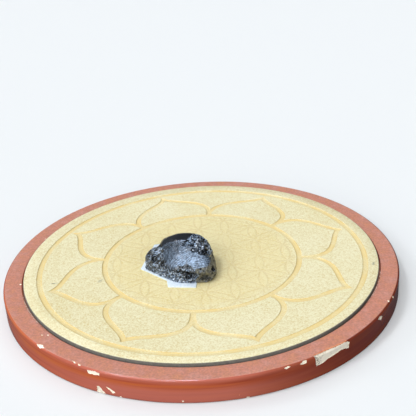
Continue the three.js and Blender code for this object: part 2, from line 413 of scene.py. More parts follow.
def chipCutter(name, outline, depth, lean, slotIndex, materials, rng):
    # a thin ragged slab that follows the skin, from below the paint to above it
    perDegree = math.radians(1) * board["radius"]
    corners = [Vector((a * perDegree, s)) for a, s in outline]
    edge = []
    for here, there in zip(corners, corners[1:] + corners[:1]):
        steps = max(1, round((there - here).length / board["chipStep"]))
        for step in range(steps):
            shift = Vector(rng.uniform(-1, 1, 2) * board["ragged"] * min(1, steps / 2))
            edge.append(here.lerp(there, step / steps) + shift)
    low = Vector((min(p.x for p in edge), min(p.y for p in edge)))
    high = Vector((max(p.x for p in edge), max(p.y for p in edge)))
    wide, tall = board["chipGrid"]
    inner = [Vector((x, y)) for x in np.arange(low.x, high.x, wide)
             for y in np.arange(low.y, high.y, tall)]
    loop = list(range(len(edge)))
    flatPoints, _, faces, _, _, _ = delaunay_2d_cdt(edge + inner, [], [loop], 1, 1e-4)
    count = len(flatPoints)
    floor = -depth * (1 + rng.uniform(-0.3, 0.3, count))
    if lean:
        floor -= lean * (high.y - np.array([p.y for p in flatPoints]))
    points = [skinPoint(p.x / perDegree, p.y, floor[i]) for i, p in enumerate(flatPoints)]
    points += [skinPoint(p.x / perDegree, p.y, board["chipAbove"]) for p in flatPoints]
    sides = {pair for face in faces for pair in zip(face, list(face[1:]) + [face[0]])}
    border = sorted((a, b) for a, b in sides if (b, a) not in sides)
    top = [[v + count for v in face] for face in faces]
    bottom = [list(reversed(face)) for face in faces]
    walls = [[b, a, a + count, b + count] for a, b in border]
    cutter = meshObject(name, points, top + bottom + walls, materials)
    data = cutter.data
    data.polygons.foreach_set("material_index", [slotIndex] * len(data.polygons))
    outward(cutter)
    return cutter


def outward(thing):
    # turns every face of a closed mesh to look outwards
    work = bmesh.new()
    work.from_mesh(thing.data)
    bmesh.ops.remove_doubles(work, verts=work.verts, dist=1e-8)
    bmesh.ops.recalc_face_normals(work, faces=work.faces)
    work.to_mesh(thing.data)
    work.free()


def turned(profile, sides):
    # the points and side faces of a profile turned round the z axis
    count = len(profile)
    points, faces = [], []
    for side in range(sides):
        angle = 2 * math.pi * side / sides
        points += [(r * math.cos(angle), r * math.sin(angle), z) for r, z in profile]
        here, there = side * count, ((side + 1) % sides) * count
        faces += [[here + step, there + step, there + step + 1, here + step + 1]
                  for step in range(count - 1)]
    return points, faces


def arc(x, y, reach, start, end, steps):
    # points on part of a circle, from one angle in degrees to another
    turns = [math.radians(start + (end - start) * step / steps) for step in range(steps + 1)]
    return [(x + reach * math.cos(turn), y + reach * math.sin(turn)) for turn in turns]


def makeBoard():
    materials = [makePaint(), makeGesso(), makeOldCoat()]
    bend, inner = board["edgeRound"], board["innerRound"]
    radius, recess, height = board["radius"], board["recess"], board["height"]
    flat = radius - bend
    across = np.linspace(recess + inner, flat, board["topSteps"] + 1)[1:-1]
    down = np.linspace(height - bend, bend, board["sideSteps"] + 1)[1:-1]
    profile = [(recess, board["recessFloor"])]
    profile += arc(recess + inner, height - inner, inner, 180, 90, 3)
    profile += [(out, height) for out in across]
    profile += arc(flat, height - bend, bend, 90, 0, board["roundSteps"])
    profile += [(radius, up) for up in down]
    profile += arc(flat, bend, bend, 0, -90, board["roundSteps"])
    sides = board["sides"]
    points, faces = turned(profile, sides)
    # the turned edge is a little worn, more in some places than in others
    places = np.array(points)
    rough = noise(places, 34, 3) * 0.5 + noise(places, 11, 4) * 0.3 + 0.6
    out = places / np.linalg.norm(places[:, :2], axis=1, keepdims=True) * [1, 1, 0]
    reach = np.linalg.norm(places[:, :2], axis=1)
    share = np.clip((reach - flat) / bend, 0, 1)
    places = places - out * (np.clip(rough, 0, 1) * share * board["wave"])[:, None]
    count = len(profile)
    topMiddle = len(points)
    faces += [[topMiddle, ((side + 1) % sides) * count, side * count] for side in range(sides)]
    last = count - 1
    faces += [[topMiddle + 1, side * count + last, ((side + 1) % sides) * count + last]
              for side in range(sides)]
    points = [tuple(p) for p in places] + [(0, 0, board["recessFloor"]), (0, 0, 0)]
    thing = meshObject("round_board_painted", points, faces, materials)
    outward(thing)
    rng = np.random.default_rng(11)
    deep, lean = board["chipDepth"], board["chipLean"]
    cutters = [chipCutter("chip", outline, deep, lean, 1, materials, rng)
               for outline in board["chips"]]
    cutters += [chipCutter("scratch", outline, deep / 3, 0, 2, materials, rng)
                for outline in board["scratches"]]
    cutWith(thing, cutters)
    shadeByAngle(thing, 35)
    handOver(thing, "round_board")


makeBoard()
print("board made")


# Fibreboard: pressed wood fibre, routed with a round cutter, sealed pale and cut out with
# a burnt edge. To the eye: a granular straw-cream face with golden grooves.
fibre = {
    "pale": "#f2eac4",
    "warm": "#e6d9a8",
    "deep": "#dac384",
    "gold": "#ecd68e",
    "goldFrom": (66.0, 54.0, 0.4),  # mm from the middle where that starts and is full, share
    "stain": "#4a4c48",
    # painted shade: a darker gold on the grooves' steep walls
    "grooveWallShade": "#c9a65d",
    "grooveFloor": "#e4c475",
    "grooveMiddle": "#edd28a",
    "burnt": "#4c4d47",
    "burntPale": "#807d73",
    "burntFrom": (0.45, 0.1),       # mm in from the edge where the soot starts and is full
    "grain": 0.9,       # mm, drawn a little coarser than real fibre bundles so that it shows
    "fleck": 2.2,       # mm across a loose bundle of fibres
    "cloud": 30.0,      # mm across a paler or darker part of the face
    "rough": 0.75,
    "worn": 13.0,       # mm across the patches where the groove's gold has worn
}

# The panel, in millimetres and degrees. A petal is one curve on each side, drawn as if it
# pointed along +X. The real ones are uneven, so each leans and swells by its own amount.
panel = {
    "radius": 113.4,
    "floor": 13.5,
    "top": 16.5,
    "middle": (0.9, -1.3),  # the carving is a little off the middle
    "edge": 0.35,
    "sides": 288,
    "grooveWidth": 3.6,
    "grooveDepth": 0.5,
    "outerRing": 104.1,
    "innerRing": 62.7,
    "petalCount": 8,
    "petalTurn": 17.0,
    "petalRoot": (62.5, 25.9),
    "petalBelly": (84.0, 32.0),
    "petalNeck": (88.0, 7.0),
    "petalTip": 97.6,
    "petalLeans": (0.5, -2.3, -3.2, 0, 4, 2.5, -0.8, 0.4),
    "petalSwells": (0.5, -1.5, -3, -3.5, -1, 1.5, 0, -1.5),
    "tipLean": 0.4,
    "petalSteps": 26,
    "flowerRadius": 21.0,
    "flowerTurn": -28.0,
    "flowerReach": 61.4,
    "flowerWidth": 1.4,
    "flowerDepth": 0.07,
    # stains: x, y, half length, half width, degrees, strength
    "stains": [
        (108.0, -21.0, 2.6, 1.0, 70, 0.5),
        (-91.9, -22.1, 2.6, 0.5, 8, 0.75),
        (-63.1, -22.4, 2.4, 1.5, 60, 0.3),
    ],
}


def makeFibreboard():
    material, tree = newMaterial("fibreboardSealed")
    place = add(tree, "TexCoord").outputs["Object"]
    split = add(tree, "SeparateXYZ", {0: place})
    grain = add(tree, "TexNoise", {
        "Vector": place, "Scale": 1 / (fibre["grain"] * mm), "Detail": 3, "Roughness": 0.65,
    })
    fleck = add(tree, "TexNoise", {
        "Vector": place, "Scale": 1 / (fibre["fleck"] * mm), "Detail": 2, "Distortion": 1.2,
    })
    cloud = add(tree, "TexNoise", {
        "Vector": place, "Scale": 1 / (fibre["cloud"] * mm), "Detail": 2,
    })
    blend = add(tree, "Mix", {0: 0.25, 2: grain, 3: fleck})
    blend = add(tree, "Mix", {0: 0.12, 2: blend, 3: cloud})
    face = add(tree, "ValToRGB", {0: blend}, stops=[
        (0.35, fibre["deep"]), (0.47, fibre["warm"]), (0.58, fibre["pale"]),
    ])
    flat = add(tree, "CombineXYZ", {0: split.outputs[0], 1: split.outputs[1]})
    reach = add(tree, "VectorMath", {0: flat}, operation="LENGTH").outputs["Value"]
    start, full, share = fibre["goldFrom"]
    inner = add(tree, "MapRange", {
        "Value": reach, "From Min": start * mm, "From Max": full * mm, "To Max": share,
    })
    face = mix(tree, inner, face, linear(fibre["gold"]))
    depth = add(tree, "MapRange", {
        "Value": split.outputs[2], "From Min": (panel["top"] - 0.01) * mm,
        "From Max": (panel["top"] - panel["grooveDepth"]) * mm,
    })
    # the grooves' gold: painted shade darkens it on their walls, and it is lightest in the middle
    # of their floors
    goldWithShade = add(tree, "ValToRGB", {0: depth}, stops=[
        (0.35, fibre["grooveWallShade"]), (0.8, fibre["grooveFloor"]), (0.99, fibre["grooveMiddle"]),
    ])
    inGroove = add(tree, "MapRange", {
        "Value": depth, "From Min": 0.0, "From Max": 0.45, "To Max": 0.8,
    })
    wear = add(tree, "TexNoise", {
        "Vector": place, "Scale": 1 / (fibre["worn"] * mm), "Detail": 1,
    })
    left = add(tree, "MapRange", {
        "Value": wear, "From Min": 0.35, "From Max": 0.58, "To Min": 0.55, "To Max": 1.0,
    })
    inGroove = add(tree, "Math", {0: inGroove, 1: left}, operation="MULTIPLY")
    colour = mix(tree, inGroove, face, goldWithShade)
    for x, y, long, wide, turn, strength in panel["stains"]:
        moved = add(tree, "Mapping", {
            "Vector": place, "Location": (x * mm, y * mm, 0),
            "Rotation": (0, 0, math.radians(turn)), "Scale": (long * mm, wide * mm, 1),
        }, vector_type="TEXTURE")
        far = add(tree, "VectorMath", {0: moved}, operation="LENGTH").outputs["Value"]
        worn = add(tree, "Math", {0: far, 1: grain}, operation="ADD")
        mark = add(tree, "MapRange", {
            "Value": worn, "From Min": 1.6, "From Max": 0.8, "To Max": strength,
        })
        colour = mix(tree, mark, colour, linear(fibre["stain"]))
    start, full = fibre["burntFrom"]
    rim = add(tree, "MapRange", {
        "Value": reach, "From Min": (panel["radius"] - start) * mm,
        "From Max": (panel["radius"] - full) * mm,
    })
    soot = mix(tree, fleck, linear(fibre["burnt"]), linear(fibre["burntPale"]))
    colour = mix(tree, rim, colour, soot)
    bump = add(tree, "Bump", {"Height": grain, "Strength": 0.2, "Distance": fineDepth})
    finishMaterial(tree, {"Base Color": colour, "Roughness": fibre["rough"], "Normal": bump})
    return material


def channel(name, run, closed, width, depth):
    # a bar with a flat floor and rounded corners, to be cut out of the panel's face
    halves = (0.4, 0.7, 0.88, 0.97, 1)
    shares = [-share for share in reversed(halves)] + [0, *halves]
    section = [(width / 2 * share, -depth * math.sqrt(1 - share ** 4)) for share in shares]
    section += [(width / 2, 0.6), (-width / 2, 0.6)]
    count = len(run)
    points = []
    for index, here in enumerate(run):
        after = (run[(index + 1) % count] - here).normalized()
        before = (here - run[index - 1]).normalized()
        if not closed:
            after = before if index == count - 1 else after
            before = after if index == 0 else before
        along = (after + before).normalized()
        across = Vector((-along.y, along.x)) / along.dot(after)
        for side, up in section:
            spot = here + across * side
            points.append((spot.x + panel["middle"][0], spot.y + panel["middle"][1],
                           panel["top"] + up))
    size = len(section)
    faces = []
    for index in range(count if closed else count - 1):
        here, there = index * size, ((index + 1) % count) * size
        for step in range(size):
            then = (step + 1) % size
            faces.append([here + step, here + then, there + then, there + step])
    if not closed:
        faces.append(list(range(size)))
        faces.append([(count - 1) * size + step for step in reversed(range(size))])
    bar = meshObject(name, points, faces, [])
    outward(bar)
    return bar


def ringRun(radius, sides, middle=(0, 0)):
    turns = [2 * math.pi * side / sides for side in range(sides)]
    return [Vector((middle[0] + radius * math.cos(t), middle[1] + radius * math.sin(t)))
            for t in turns]


def petalRun(petal):
    lean, swell = panel["petalLeans"][petal], panel["petalSwells"][petal]
    tip = Vector((panel["petalTip"], lean * panel["tipLean"]))
    halves = []
    for sign in (-1, 1):
        root = Vector((panel["petalRoot"][0], panel["petalRoot"][1] * sign))
        belly = Vector((panel["petalBelly"][0], (panel["petalBelly"][1] + swell) * sign + lean))
        neck = Vector((panel["petalNeck"][0], (panel["petalNeck"][1] + swell) * sign + lean))
        half = [root.normalized() * panel["innerRing"]]
        for step in range(panel["petalSteps"] + 1):
            t = step / panel["petalSteps"]
            half.append(root * (1 - t) ** 3 + belly * 3 * t * (1 - t) ** 2
                        + neck * 3 * t * t * (1 - t) + tip * t ** 3)
        halves.append(half)
    run = halves[0] + halves[1][-2::-1]
    turn = math.radians(panel["petalTurn"] + 360 / panel["petalCount"] * petal)
    spin = Matrix.Rotation(turn, 2)
    return [spin @ point for point in run]


def flowerMiddles():
    # circles on a grid of triangles, each through the middles of its six neighbours
    step = panel["flowerRadius"]
    spin = Matrix.Rotation(math.radians(panel["flowerTurn"]), 2)
    middles = []
    for a in range(-4, 5):
        for b in range(-4, 5):
            if abs(a + b) <= 4:
                middles.append(spin @ Vector((step * (a + b / 2), step * b * math.sqrt(3) / 2)))
    return middles


def flowerRuns(middle):
    # the stretches of one circle that lie inside the inner ring, and whether it is whole
    run = ringRun(panel["flowerRadius"], 72, middle)
    inside = [point.length < panel["flowerReach"] for point in run]
    if all(inside):
        return [(run, True)]
    if not any(inside):
        return []
    start = next(i for i in range(len(run)) if inside[i] and not inside[i - 1])
    runs, current = [], []
    for i in range(start, start + len(run)):
        if inside[i % len(run)]:
            current.append(run[i % len(run)])
        elif current:
            runs.append(current)
            current = []
    if current:
        runs.append(current)
    return [(stretch, False) for stretch in runs if len(stretch) > 2]


def makePanel():
    radius, edge, low, top = panel["radius"], panel["edge"], panel["floor"], panel["top"]
    profile = [(radius - edge, low), (radius, low + edge), (radius, top - edge),
               (radius - edge * 0.3, top - edge * 0.3), (radius - edge, top)]
    sides, count = panel["sides"], len(profile)
    points, faces = turned(profile, sides)
    faces.append([side * count + count - 1 for side in range(sides)])
    faces.append([side * count for side in reversed(range(sides))])
    thing = meshObject("lotus_panel_carved", points, faces, [makeFibreboard()])
    outward(thing)
    wide, deep = panel["grooveWidth"], panel["grooveDepth"]
    bars = [channel("flower", run, whole, panel["flowerWidth"], panel["flowerDepth"])
            for middle in flowerMiddles() for run, whole in flowerRuns(middle)]
    bars.append(channel("ring", ringRun(panel["outerRing"], 240), True, wide, deep))
    bars.append(channel("ring", ringRun(panel["innerRing"], 160), True, wide, deep))
    bars += [channel("petal", petalRun(petal), False, wide, deep)
             for petal in range(panel["petalCount"])]
    cutWith(thing, bars)
    shadeByAngle(thing, 28)
    handOver(thing, "lotus_panel")


makePanel()
print("panel carved")


# Paper card: a hand-cut slip of smooth white card. To the eye: matt, faintly blue white.
# Lengths in millimetres.
card = {
    "colour": "#e1eaf1",
    "shade": "#d2dfe8",
    "fibre": 1.2,       # drawn coarser than real paper fibre so that it shows
    "rough": 0.7,
    "bottom": 16.5,
    "thick": 0.6,
    "outline": [(-38.1, -11), (-21.2, -27.3), (-20.4, -35.1), (-3.3, -37.6), (-1.5, -22.3),
                (1.9, 4.7), (-15.1, 22), (-30.6, 20.6)],
    "bevel": 0.12,
}


def makeCardPaper():
    material, tree = newMaterial("paperCardWhite")
    place = add(tree, "TexCoord").outputs["Object"]
    fibres = add(tree, "TexNoise", {
        "Vector": place, "Scale": 1 / (card["fibre"] * mm), "Detail": 4,
    })
    colour = add(tree, "ValToRGB", {0: fibres}, stops=[
        (0.35, card["shade"]), (0.6, card["colour"]),
    ])
    bump = add(tree, "Bump", {"Height": fibres, "Strength": 0.15, "Distance": fineDepth})
    finishMaterial(tree, {"Base Color": colour, "Roughness": card["rough"], "Normal": bump})
    return material


def makeCard():
    count = len(card["outline"])
    points = [(x, y, card["bottom"]) for x, y in card["outline"]]
    points += [(x, y, card["bottom"] + card["thick"]) for x, y in card["outline"]]
    faces = [list(range(count, 2 * count)), list(reversed(range(count)))]
    faces += [[i, (i + 1) % count, (i + 1) % count + count, i + count] for i in range(count)]
    thing = meshObject("card_slip_cut", points, faces, [makeCardPaper()])
    outward(thing)
    soften = thing.modifiers.new("soften", "BEVEL")
    soften.width = card["bevel"] * mm
    soften.segments = 2
    applyModifiers(thing)
    shadeByAngle(thing, 40)
    handOver(thing, "card_slip")


makeCard()
print("card cut")


# Natural glass: black impact glass, etched in the ground. To the eye: nearly black where it
# is smooth, a bluish grey frost in the scoop with a painted highlight where the light glances
# off it, an olive-brown film low down that is partly soil and partly painted reflection of the
# wooden panel, and bright sparks, partly from the glossy walls of the pits and partly painted
# glints.
glass = {
    # colour and roughness, each layer over the one before it
    "bare": ("#0a0e15", 0.16),
    "frost": ("#a7bfdb", 0.5),
    # an olive-brown film: partly soil, partly painted reflection of the wooden panel below
    "soilAndReflection": ("#807d6d", 0.6),
    "pits": ("#08090a", 0.14),
    # painted glints: white flecks in the base colour
    "paintedGlint": "#e3edf8",
    "grain": 0.55,      # mm across a grain of the etched skin
    "facet": 1.2,       # mm across the flat-bottomed etch marks
    "lean": 1.2,        # how steeply they lean
}


def makeGlass():
    material, tree = newMaterial("naturalGlassEtched")
    place = add(tree, "TexCoord").outputs["Object"]
    masks = {name: add(tree, "Attribute", attribute_name=name).outputs["Fac"]
             for name in ("frost", "etched", "pits", "soilAndReflection", "paintedGlint")}
    grain = add(tree, "TexNoise", {
        "Vector": place, "Scale": 1 / (glass["grain"] * mm), "Detail": 2, "Roughness": 0.6,
    })
    spread = add(tree, "MapRange", {
        "Value": grain, "From Min": 0.36, "From Max": 0.64, "To Min": 0.35, "To Max": 1.5,
    })
    for name in ("frost", "soilAndReflection"):
        masks[name] = add(tree, "Math", {0: masks[name], 1: spread}, operation="MULTIPLY",
                          use_clamp=True)
    colour, rough = linear(glass["bare"][0]), glass["bare"][1]
    for name in ("frost", "soilAndReflection", "pits"):
        layer, dull = glass[name]
        colour = mix(tree, masks[name], colour, linear(layer))
        rough = add(tree, "Mix", {0: masks[name], 2: rough, 3: dull})
    # painted glints: white flecks laid over the base colour
    colour = mix(tree, masks["paintedGlint"], colour, linear(glass["paintedGlint"]))
    # each etch mark is a little plane that leans its own way
    cell = add(tree, "TexVoronoi", {"Vector": place, "Scale": 1 / (glass["facet"] * mm)})
    lean = add(tree, "VectorMath", {0: cell.outputs["Color"], 1: (0.5, 0.5, 0.5)},
               operation="SUBTRACT")
    off = add(tree, "VectorMath", {0: place, 1: cell.outputs["Position"]},
              operation="SUBTRACT")
    plane = add(tree, "VectorMath", {0: lean, 1: off}, operation="DOT_PRODUCT").outputs["Value"]
    marks = add(tree, "Math", {0: plane, 1: masks["etched"]}, operation="MULTIPLY")
    facets = add(tree, "Bump", {"Height": marks, "Distance": glass["lean"]})
    bump = add(tree, "Bump", {
        "Height": grain, "Strength": 0.25, "Distance": fineDepth, "Normal": facets,
    })
    finishMaterial(tree, {"Base Color": colour, "Roughness": rough, "Normal": bump})
    return material


# The stone. Places and lengths are in millimetres in its own frame: x right, y back and z up
# from the middle of its resting face, which lies at "middle".
stone = {
    "middle": (-12.1, -15.3, 17.1),
    "voxel": 0.22,
    "smoothing": 30,
    # its zones are outlined as they look from the front and a little above, right and up
    "across": (0.998, -0.026, -0.054),
    "rise": (0.060, 0.431, 0.900),
    "zones": {
        "ridge": [(-15.6, 14.2), (-13.4, 18.6), (-7.1, 23.0), (1.0, 25.6), (9.8, 25.2),
                  (7.6, 22.7), (3.9, 19.7), (2.9, 17.7), (0.4, 17.4), (-2.7, 18.4),
                  (-7.6, 17.4), (-9.8, 16.6), (-11.9, 15.2)],
        "crown": [(2.7, 17.3), (3.9, 19.7), (7.6, 23.9), (12.3, 24.6), (16.7, 21.1),
                  (21.2, 13.3), (19.4, 11.9), (17.9, 10.1), (13.0, 10.1), (9.9, 11.3),
                  (9.0, 14.9), (5.6, 14.8)],
        "lobe": [(-24.5, 7.4), (-21.5, 13.0), (-17.7, 15.2), (-13.5, 14.6), (-11.2, 12.6),
                 (-12.1, 8.6), (-9.7, 5.9), (-9.3, 2.1), (-7.3, 0.1), (-13.2, -5.6),
                 (-24.5, 0.2)],
        "lip": [(-7.0, -0.5), (-5.1, 1.7), (-2.3, 3.2), (1.4, 3.6), (3.8, 4.4), (6.2, 3.5),
                (8.4, 1.1), (10.0, -0.9), (7.7, -1.1), (5.9, 0.3), (3.9, 1.8), (1.4, 1.5),
                (-2.3, 1.2), (-4.2, 0.2)],
        "hollow": [(-13.3, -5.0), (-9.3, 0.6), (-7.0, -0.5), (-4.2, 0.2), (-2.3, 1.2),
                   (3.9, 1.8), (7.7, -1.1), (10.0, -1.9), (8.7, -9.7), (-12.4, -9.1)],
        "flank": [(8.4, 1.1), (11.2, 2.4), (14.2, 3.0), (17.0, 4.2), (18.5, 7.0),
                  (19.4, 10.1), (20.5, 12.7), (27.6, 6.2), (27.1, -9.7), (16.9, -11.1),
                  (9.4, -11.3), (8.7, -5.0), (10.0, -1.3)],
    },
    # knobs that stand proud of the lobe: where as seen from the front, reach and height
    "knobs": [((-23.0, 8.6), 2.6, 0.9), ((-19.4, 13.4), 1.8, 0.5)],
    "bright": (5.2, 5.8),       # where the scoop's painted highlight is whitest, and how far that spreads
    "highlightReach": (7.0, 4.5),
    # mouths and radii of the large bubbles
    "bubbles": [
        (8.1, -5.2, 16.2, 1.35), (10.9, -7.1, 16.4, 0.85), (14.4, -8.2, 15.6, 1.5),
        (15.6, -7.9, 16.0, 1.5), (16.9, -5.4, 15.4, 1.5), (-5.4, -13.0, 4.9, 1.8),
        (-0.5, -16.06, 6.8, 1.6), (4.2, -16.9, 5.6, 1.9), (1.6, -16.3, 6.9, 1.4),
        (7.9, -17.3, 5.6, 1.3), (-16.9, 0.2, 9.0, 1.5), (20.09, -14.0, 7.71, 1.6),
        (-9.04, 15.37, 8.81, 2.0), (9.54, 18.01, 5.94, 1.7), (16.8, 0.6, 15.4, 1.2),
    ],
    # small pits: chance per square millimetre, their smallest and largest radius
    "pitZones": {
        "hollow": (0.3, 0.35, 0.9),
        "lobe": (0.25, 0.35, 0.8),
        "crown": (0.35, 0.35, 0.8),
        "flank": (0.2, 0.3, 0.7),
        "lip": (0.08, 0.3, 0.5),
        "back": (0.3, 0.3, 0.9),
        "scoop": (0.05, 0.25, 0.5),
    },
    # wide shallow dishes with glossy floors that lean their own way
    "dishZones": {"hollow": 0.18, "lobe": 0.16, "crown": 0.16, "flank": 0.06, "back": 0.1},
    "dishReach": (0.8, 1.7),
    "rowReach": 0.9,
    "bubbleSunk": 0.85,     # how far under its mouth a bubble's middle lies, in its radius
    "pitSunk": (0.4, 0.8),
    "deepest": 0.7,     # how far dishes and small pits may go below the skin
    # dishes in a row under the ridge
    "row": [(-9.7, 1.3, 15.1), (-8.0, 0.7, 16.3), (-5.7, -0.4, 17.5), (-3.5, -1.6, 18.0),
            (-1.7, -2.8, 17.4), (2.1, -2.5, 18.8), (4.6, -3.9, 18.0), (6.5, -3.2, 19.6)],
    # flow lines in the scoop: what they bend round, the space between them, their height
    "flowMiddle": (13.6, -9),
    "flowSpacing": 1.15,
    "flowHeight": 0.08,
}


def fade(value, zero, one):
    share = np.clip((value - zero) / (one - zero), 0, 1)
    return share * share * (3 - 2 * share)


def insideBy(spots, outline):
    # how far each flat spot lies inside an outline, below zero outside it
    corners = np.array(outline)
    nearest = np.full(len(spots), np.inf)
    inside = np.zeros(len(spots), dtype=bool)
    for (ax, ay), (bx, by) in zip(corners, np.roll(corners, -1, axis=0)):
        edge = np.array((bx - ax, by - ay))
        off = spots - (ax, ay)
        along = np.clip(off @ edge / (edge @ edge), 0, 1)
        nearest = np.minimum(nearest, np.linalg.norm(off - along[:, None] * edge, axis=1))
        crosses = (ay > spots[:, 1]) != (by > spots[:, 1])
        if ay != by:
            meets = ax + (spots[:, 1] - ay) * (bx - ax) / (by - ay)
            inside ^= crosses & (spots[:, 0] < meets)
    return np.where(inside, nearest, -nearest)


def vertexNormals(data):
    found = np.zeros(len(data.vertices) * 3)
    data.vertex_normals.foreach_get("vector", found)
    return found.reshape(-1, 3)


def vertexPlaces(data):
    found = np.zeros(len(data.vertices) * 3)
    data.vertices.foreach_get("co", found)
    return found.reshape(-1, 3) / mm - np.array(stone["middle"])


def setPlaces(data, places):
    data.vertices.foreach_set("co", ((places + np.array(stone["middle"])) * mm).ravel())
    data.update()


def smoothed(places, edges, rounds):
    # evens the faceted skin without shrinking it: one step in, one step out
    count = np.bincount(edges.ravel(), minlength=len(places))[:, None]
    for turn in range(rounds):
        total = np.zeros_like(places)
        np.add.at(total, edges[:, 0], places[edges[:, 1]])
        np.add.at(total, edges[:, 1], places[edges[:, 0]])
        pull = total / count - places
        places = places + pull * (0.55 if turn % 2 == 0 else -0.5)
    return places


def frontSpots(places):
    return np.stack([places @ np.array(stone["across"]), places @ np.array(stone["rise"])], 1)


def stoneZones(places, facing):
    toward = np.cross(stone["across"], stone["rise"])
    shown = fade(facing @ toward, -0.25, 0.05)
    ragged = noise(places, 1.6, 51) * 0.55 + noise(places, 0.8, 52) * 0.25
    spots = frontSpots(places)
    zones, left = {}, shown
    for name, outline in stone["zones"].items():
        zones[name] = left * fade(insideBy(spots, outline) + ragged, -0.35, 0.35)
        left = left - zones[name]
    zones["scoop"] = left
    zones["back"] = 1 - shown
    return zones


def cutPit(places, way, mouth, radius, sunk, mask, shade=1):
    # presses the skin onto the lower part of a sphere, and marks it by the shade
    middle = mouth + way * (radius * (1 - sunk))
    near = np.flatnonzero(((places - middle) ** 2).sum(axis=1) < radius * radius)
    if len(near) == 0:
        return
    off = places[near] - middle
    up = off @ way
    across = (off ** 2).sum(axis=1) - up * up
    floor = -np.sqrt(np.maximum(radius * radius - across, 0))
    places[near] += (floor - up)[:, None] * way
    mask[near] = np.maximum(mask[near], fade((up - floor) / radius, 0.15, 0.8) * shade)


def cutDish(places, facing, index, reach, rng, mask):
    # a shallow dish about twice as wide as deep, leaning off the skin
    way = facing[index] + rng.uniform(-0.55, 0.55, 3)
    way /= np.linalg.norm(way)
    curve = reach * rng.uniform(1.3, 2.0)
    sunk = 1 - math.sqrt(1 - (reach / curve) ** 2)
    cutPit(places, way, places[index].copy(), curve, sunk, mask, 0.5)


def held(places, before):
    # keeps every point within the deepest reach of where it was
    move = places - before
    length = np.linalg.norm(move, axis=1, keepdims=True)
    return before + move * np.minimum(1, stone["deepest"] / np.maximum(length, 1e-9))


def nearestPoint(places, spot):
    return np.argmin(((places - np.array(spot)) ** 2).sum(axis=1))


def cutSkin(places, facing, zones):
    # wide dishes, the large bubbles, then the small pits; gives the places and a pit mask
    mask = np.zeros(len(places))
    rng = np.random.default_rng(5)
    skin = stone["voxel"] ** 2
    before = places.copy()
    dishes = []
    for name, rate in stone["dishZones"].items():
        chance = zones[name] * rate * skin * (places[:, 2] > 1)
        dishes += [(rng.uniform(*stone["dishReach"]), index)
                   for index in np.flatnonzero(rng.random(len(places)) < chance)]
    for reach, index in sorted(dishes, key=lambda dish: -dish[0]):
        cutDish(places, facing, index, reach, rng, mask)
    for spot in stone["row"]:
        cutDish(places, facing, nearestPoint(places, spot), stone["rowReach"], rng, mask)
    places = held(places, before)
    for *spot, radius in stone["bubbles"]:
        index = nearestPoint(places, spot)
        cutPit(places, facing[index], places[index].copy(), radius, stone["bubbleSunk"], mask)
    pits = []
    for name, (rate, small, large) in stone["pitZones"].items():
        chance = zones[name] * rate * skin * (places[:, 2] > 0.5)
        for index in np.flatnonzero(rng.random(len(places)) < chance):
            radius = small + (large - small) * rng.random() ** 1.8
            pits.append((radius, index, rng.uniform(*stone["pitSunk"])))
    pits.sort(key=lambda pit: -pit[0])
    before = places.copy()
    for radius, index, sunk in pits:
        cutPit(places, facing[index], places[index].copy(), radius, sunk, mask)
    print("stone has", len(places), "points,", len(dishes), "dishes and", len(pits), "pits")
    return held(places, before), mask


def flowLines(places):
    # the glass flowed in bands round a point; about -1 to 1 across each band
    reach = np.linalg.norm(frontSpots(places) - stone["flowMiddle"], axis=1)
    reach = reach + noise(places, 6, 31) * 1.0 + noise(places, 2.2, 32) * 0.3
    lines = np.sin(2 * math.pi * reach / stone["flowSpacing"])
    return lines * (0.5 + 0.8 * noise(places, 1.9, 33))


